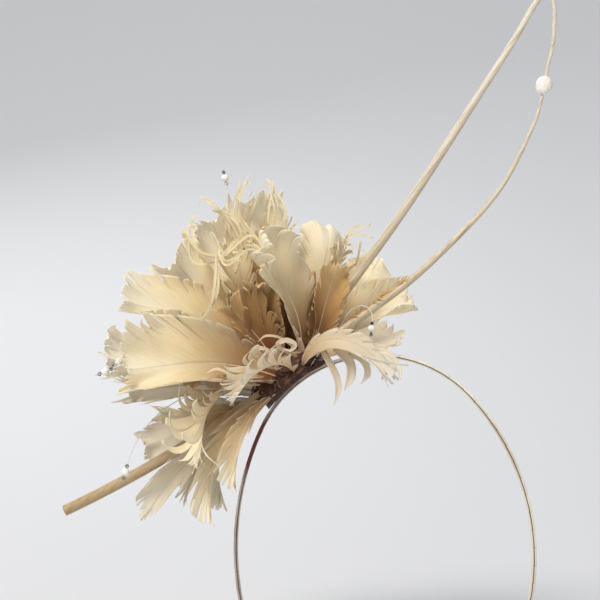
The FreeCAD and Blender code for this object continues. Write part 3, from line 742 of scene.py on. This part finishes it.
# Each feather has its foot on the base as (along the band, to the front), its middle and its tip as
# (right, front, up) from the middle of the base, its width, which way it faces, its colour and its style.
FEATHERS = {
    "petal_upper_left": (
        (-8, -8), (-39, -18, 31), (-60, -24, 60), 46, (-0.5, 1, 0.3), CREAM,
        dict(PETAL, curl=70, rim=80, cupped=45),
    ),
    "petal_upper_back": (
        (-5, -11), (-29, -24, 44), (-41, -30, 80), 38, (-0.2, 1, 0.2), CREAM,
        dict(PETAL, curl=60, rim=90, cupped=40),
    ),
    "plume_tall_left": (
        (-6, -3), (-27, -8, 51), (-25, -13, 93), 26, (0.1, 1, 0.1), CREAM,
        dict(FRILL, curl=90, split=0.3),
    ),
    "plume_tall_back": (
        (1, -13), (-15, -20, 55), (-14, -27, 92), 28, (0.1, 1, 0.1), CREAM,
        dict(PETAL, curl=60, parting=0.5, rim=90),
    ),
    "plume_arched": (
        (2, -7), (-13, -10, 59), (4, -9, 77), 24, (-0.4, 0.6, 1), CREAM,
        dict(FRILL, curl=60, parting=0.6),
    ),
    "bud_hood": (
        (8, -8), (14, -11, 45), (21, -13, 81), 40, (-0.3, -1, 0.0), CREAM,
        dict(PETAL, curl=100, curl_from=0.7, cupped=85, rim=70),
    ),
    "bud_lip": (
        (10, 1.2), (15, 4, 31), (22, 3.5, 56), 22, (0.2, 1, 0.1), SHADED_AMBER,
        dict(FRILL, curl=60, split=0.7, parting=0.5),
    ),
    "plume_wisp_right": (
        (9.5, -12.6), (18, -18, 46), (27, -19.5, 75), 16, (0.2, 1, 0.0), CREAM,
        dict(FRILL, curl=120, split=0.2, fray=2),
    ),
    "petal_centre": (
        (2, 5), (-4, 17, 44), (-27, 28, 62), 34, (0.7, 0.9, 0.5), CREAM,
        dict(PETAL, curl=110, ruffle=30, rim=80),
    ),
    "petal_inner": (
        (-4, 1), (-15, 4, 24), (-16, 6, 49), 28, (0.3, 1, 0.1), SHADED_AMBER,
        dict(PETAL, curl=60, cupped=60),
    ),
    "petal_left": (
        (-12, -3), (-50, -8, 30), (-86, -5, 30), 30, (-0.1, 0.9, 0.8), CREAM,
        dict(PETAL, curl=60, lopsided=(1.1, 0.75)),
    ),
    "petal_left_bright": (
        (-12, 3), (-60, 2, 10), (-96, 3, 1), 34, (-0.1, 1, 0.5), LIT_IVORY,
        dict(FRILL, curl=80, split=0.6),
    ),
    "petal_front_left": (
        (-3, 14.4), (-50, 22.5, 7), (-81, 25, 1), 48, (0.0, 1, 0.35), CREAM,
        dict(PETAL, curl=50, rim=60, cupped=40),
    ),
    "petal_low_left": (
        (-15, -6), (-63, -9, -6), (-90, -9, -13), 26, (0.0, 1, 0.3), SHADED_CREAM,
        dict(FRILL, curl=120, parting=0.6),
    ),
    "plume_hook_left": (
        (-14.6, 2.6), (-57, 2, -21), (-79, 1, -20), 14, (0.0, 1, 0.2), CREAM,
        dict(FRILL, curl=200, hook=150),
    ),
    "plume_under_left": (
        (-17, -2), (-54, -10, -28), (-75, -12, -39), 24, (0.0, 1, 0.3), SHADED_CREAM,
        dict(PETAL, curl=60),
    ),
    "hanging_far_left": (
        (-17, 5.4), (-55, 3.6, -46), (-76, 2, -72), 18, (0.1, 1, 0.0), SHADED_CREAM,
        dict(BLADE, curl=25, split=0.7, parting=0.4),
    ),
    "hanging_left": (
        (-18.3, 0.5), (-48, -4, -44), (-55, -6, -66), 22, (0.0, 1, 0.0), SHADED_CREAM,
        dict(BLADE, curl=30),
    ),
    "hanging_middle": (
        (-13, 13.4), (-38, 20, -38), (-40, 20, -73), 15, (0.2, 1, 0.0), CREAM,
        dict(BLADE, curl=30),
    ),
    "hanging_right": (
        (-17.5, -6), (-38, -12, -40), (-33, -13, -69), 18, (-0.1, 1, 0.0), SHADED_CREAM,
        dict(BLADE, curl=30),
    ),
    "hanging_near_band": (
        (-10.5, 14.7), (-26, 25, -30), (-28, 25, -56), 13, (0.0, 1, 0.0), CREAM,
        dict(BLADE, curl=40),
    ),
    "curl_front": (
        (1.2, 16.4), (-15, 33, 5), (-27, 35, -13), 21, (-0.2, 1, 0.6), LIT_IVORY,
        dict(
            FRILL, curl=60, split=0.4, hook=70, steep=0.55, cupped=30, lopsided=(0.7, 1.2), fray=1.1,
            point=0.9,
        ),
    ),
    "curl_low": (
        (-7.5, 16.9), (-44, 32, -31), (-38, 35, -44), 20, (-0.9, 0.8, 0.2), CREAM,
        dict(FRILL, curl=80, split=0.35, steep=0.7),
    ),
    "petal_right_back": (
        (14.3, -11.8), (30, -28, 36), (52, -31, 46), 34, (-0.2, 1, 0.6), CREAM,
        dict(PETAL, curl=50),
    ),
    "petal_right": (
        (15.5, -6), (34, -12, 29), (61, -13, 32), 30, (-0.1, 1, 0.6), CREAM,
        dict(PETAL, curl=50),
    ),
    "petal_right_low": (
        (16.8, -0.5), (34, -2, 16.5), (53, -1, 12), 22, (0.0, 0.7, 1), LIT_IVORY,
        dict(PETAL, curl=60),
    ),
    "petal_front_right": (
        (5, 14.5), (18, 31, 19.5), (43, 32, 3), 42, (0.2, 1, 0.3), LIT_IVORY,
        dict(
            curl=40, split=0.5, hook=-70, fray=0.9, parting=0.85, locks=9, rim=-20, cupped=12, ruffle=20,
            lopsided=(1.15, 0.25),
        ),
    ),
    "petal_drooping": (
        (13.5, 12.8), (33, 18, 15), (48, 19, 2), 24, (0.3, 1, 0.4), LIT_IVORY,
        dict(curl=50, split=0.45, parting=0.85, hook=-70, cupped=10, locks=9, lopsided=(1.2, 0.5)),
    ),
}
for seed, (name, (foot, middle, tip, width, face, material, style)) in enumerate(FEATHERS.items()):
    feather("feather_" + name, foot, middle, tip, width, face, material, seed, replaced=name, **style)

# Short dark ones deep in the heart, behind the others, close the flower; their dark amber is painted shade
# of the heart.
HEART = {
    "heart_left": (
        (-6, 6), (-18, 8, 20), (-33, 8, 34), 30, (0.4, 1, 0.3), SHADED_AMBER,
        dict(PETAL, curl=50, cupped=45),
    ),
    "heart_middle": (
        (1, 0), (-5, -1, 26), (-9, -3, 52), 30, (0.1, 1, 0.0), SHADED_AMBER,
        dict(PETAL, curl=40, cupped=40),
    ),
    "heart_right": (
        (6, 3), (4, 0, 24), (4, -4, 50), 26, (-0.1, 1, 0.0), SHADED_AMBER,
        dict(PETAL, curl=40, cupped=40),
    ),
    "heart_low": (
        (-9, 9), (-32, 14, 4), (-52, 15, -6), 24, (0.2, 1, 0.4), SHADED_AMBER,
        dict(PETAL, curl=40),
    ),
}
for seed, (name, (foot, middle, tip, width, face, material, style)) in enumerate(HEART.items()):
    feather("feather_" + name, foot, middle, tip, width, face, material, 60 + seed, **style)

# ---- Curled locks --------------------------------------------------------------------------------
# Single locks of barbs pulled over a blade until they curl into rings. They lie loose between the
# feathers and are held by a dab of glue at the foot.
LOCK_COLUMNS = 5
LOCK_WALL = 0.15


def curve_points(points, samples):
    """Evenly numbered points on a smooth curve through the given ones."""
    points = np.array(points, float)
    ends = np.vstack([2 * points[0] - points[1], points, 2 * points[-1] - points[-2]])
    out = []
    for i in range(len(points) - 1):
        p0, p1, p2, p3 = ends[i : i + 4]
        for x in np.linspace(0, 1, samples, endpoint=False):
            square, cube = 2 * p0 - 5 * p1 + 4 * p2 - p3, 3 * p1 - p0 - 3 * p2 + p3
            out.append(0.5 * (2 * p1 + (p2 - p0) * x + square * x**2 + cube * x**3))
    return np.array(out + [points[-1]])


def lock(points, width, lie):
    """A tapering, slightly hollow strip along a curve, across the direction lie, from the base's middle."""
    line = curve_points([from_seat(*p) for p in points], 8)
    ahead = unit(np.gradient(line, axis=0))
    upward = np.broadcast_to(np.array([lie[0], -lie[1], lie[2]], float), ahead.shape)
    side = unit(np.cross(ahead, upward) + 1e-9)
    t = np.linspace(0, 1, len(line))
    half = width / 2 * np.interp(t, (0, 0.25, 0.7, 1), (0.5, 1, 0.9, 0.1))
    face = np.cross(side, ahead)
    verts = []
    for x in np.linspace(-1, 1, LOCK_COLUMNS):
        verts.append(line + side * (half * x)[:, None] + face * (half * 0.5 * (x * x - 0.5))[:, None])
    return np.stack(verts, axis=1).reshape(-1, 3), len(line), t


def lock_group(name, locks, material):
    """Locks given as (points, width, lie), made into one piece that rides the crown."""
    verts, faces, uv = [], [], []
    for points, width, lie in locks:
        more, count, t = lock(points, width, lie)
        faces += grid_faces(len(verts), count, LOCK_COLUMNS)
        verts.extend(more)
        uv.extend((0.6 + 0.05 * y, x) for x in t for y in np.linspace(0, 1, LOCK_COLUMNS))
    piece = own_mesh(name, verts, faces, material)
    set_uv(piece.data, "Vane", uv, faces)
    wall = piece.modifiers.new("wall", "SOLIDIFY")
    wall.thickness = LOCK_WALL * MM
    wall.offset = 0
    bpy.context.view_layer.objects.active = piece
    bpy.ops.object.modifier_apply(modifier="wall")
    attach(piece, "crown")


def strip(width, lie, *points):
    """A lock with its width and its lie said first."""
    return list(points), width, lie


ringlets = [
    strip(
        1.9, (0.2, 1, 0.3),
        (-8, 22, 4), (-15, 28, 6), (-18, 31, 10), (-16, 31, 14), (-12, 30, 13), (-12, 29, 9), (-16, 30, 7),
    ),
    strip(
        1.5, (0.2, 1, 0.2),
        (-9, 22, 6), (-18, 27, 7), (-20, 30, 12), (-17, 30, 15), (-14, 29, 12), (-15, 29, 8),
    ),
    strip(
        2.6, (0.2, 1, 0.5),
        (2, 22, 10), (-4, 27, 13), (-7, 29, 16), (-3, 30, 18), (1, 30, 16), (-1, 29, 13), (-5, 29, 14),
    ),
    strip(1.4, (0.1, 1, 0.4), (4, 20, 12), (-2, 25, 11), (-7, 27, 7), (-8, 28, 4), (-5, 28, 5)),
    strip(1.2, (0.3, 1, 0.2), (2, 20, 13), (-6, 26, 19), (-13, 26, 20), (-17, 25, 17)),
    strip(1.6, (0.2, 1, 0.5), (-14, 21, 0), (-26, 28, 0), (-36, 30, 4), (-42, 30, 2)),
    strip(1.4, (0.2, 1, 0.5), (-16, 20, -4), (-30, 27, -4), (-40, 29, -9), (-44, 29, -6)),
]
lock_group("ringlets", ringlets, LIT_IVORY)

# Thin wisps fly out at the top of the flower, four together from each place.
rng = np.random.default_rng(7)
wisps = []
for foot, tip, bow in (
    ((-30, 2, 58), (-50, 6, 76), 8), ((-24, 4, 62), (-42, 6, 86), -6), ((-16, 2, 66), (-26, 6, 96), 6),
    ((-10, 0, 70), (-12, 4, 94), -4), ((-22, 6, 62), (-36, 10, 66), 6), ((-14, 4, 62), (-30, 8, 58), -6),
    ((26, -8, 62), (36, -8, 76), 4), ((28, -8, 58), (38, -6, 62), -5), ((-38, 8, 62), (-44, 14, 24), 4),
):
    foot, tip = np.array(foot, float), np.array(tip, float)
    way = tip - foot
    bend = unit(np.cross(way, (0, 1, 0))) * bow
    for _ in range(4):
        shake = rng.normal(0, 2.5, 3)
        middle = (foot + tip) / 2 + bend + shake
        last = tip + rng.normal(0, 3, 3)
        hook = last + unit(bend) * rng.uniform(-6, 6) - way * rng.uniform(0.02, 0.16)
        wisps.append(([foot, middle, last, hook], rng.uniform(0.5, 1.5), (0.2, 1, 0.2)))
lock_group("wisps", wisps, CREAM)

# Broad locks droop from the lower edge of the front petal.
droops = [
    strip(3.4, (0.2, 1, 0.2), (14, 31, 13), (20, 33, 3), (22, 34, -5), (20, 34, -13)),
    strip(5.0, (0.3, 1, 0.3), (20, 31, 14), (27, 33, 8), (28, 34, 1), (25, 34, -6)),
    strip(4.2, (0.3, 1, 0.4), (32, 32, 11), (40, 33, 11), (45, 33, 5), (43, 33, -1)),
    strip(3.0, (0.3, 1, 0.4), (38, 31, 12), (46, 32, 12), (51, 32, 5), (52, 32, -1)),
    strip(3.6, (0.3, 1, 0.3), (27, 32, 12), (34, 34, 8), (36, 34, 2), (33, 34, -3)),
]
lock_group("droops", droops, LIT_IVORY)

# Torn strips of straw lie over the gather.
strip_straw, shader, add, link = nodes_of("straw strips")
where = add("ShaderNodeTexCoord").outputs["Object"]
patch = noise(add, where, 170.0, Detail=3.0)
browns = [(0.35, (0.035, 0.01, 0.006)), (0.55, (0.11, 0.035, 0.018)), (0.72, (0.32, 0.18, 0.08))]
link(ramp(add, patch, browns), "Base Color")
roughen(add, link, patch, 0.4, 0.0003)
shader.inputs["Roughness"].default_value = 0.6
rng = np.random.default_rng(5)
strips = []
for _ in range(60):
    a = rng.uniform(-17, 13)
    reach = math.sqrt(1 - (a / 20) ** 2)
    line = []
    for x in (0.0, 0.3, 0.65, 1.0):
        front = 20.0 * reach * (0.25 + 0.75 * math.sin(x * 1.5)) + rng.uniform(-0.6, 1.4)
        height = 10.5 * math.cos(x * 1.45) + 1.4 + rng.uniform(-0.7, 1.2)
        line.append(seat_point(a + x * rng.uniform(-9, 9), front, height - 3.0) - seat_point(0, 0))
    strips.append(([(p[0], -p[1], p[2]) for p in line], rng.uniform(0.6, 2.4), (-0.4, 1, 0.6)))
strips.append(strip(1.8, (-0.3, 1, 0.4), (6, 22, 5), (-1, 24.5, -1), (-5, 24, -4), (-7, 23.5, 1)))
lock_group("straw_strips", strips, strip_straw)

# The knife left short stubs of barbs along the curved quill, past the flower.
rng = np.random.default_rng(11)
stubs = []
for x in rng.uniform(0, 1, 46):
    foot = np.array([27 + 29 * x, 9 - 3.5 * x, 26.2 + 20.5 * x])
    way = np.array([0.9, rng.normal(0, 0.4), 0.45]) * rng.uniform(2, 5) + rng.normal(0, 0.6, 3)
    lift = np.array([-0.4, 0, 1.0]) * rng.uniform(0.6, 2.0)
    end = foot + way + lift * rng.uniform(0.4, 1.6)
    stubs.append(([foot, foot + way * 0.5 + lift, end], rng.uniform(0.4, 1.0), (0.2, 1, 0.2)))
lock_group("quill_stubs", stubs, SHADED_AMBER)
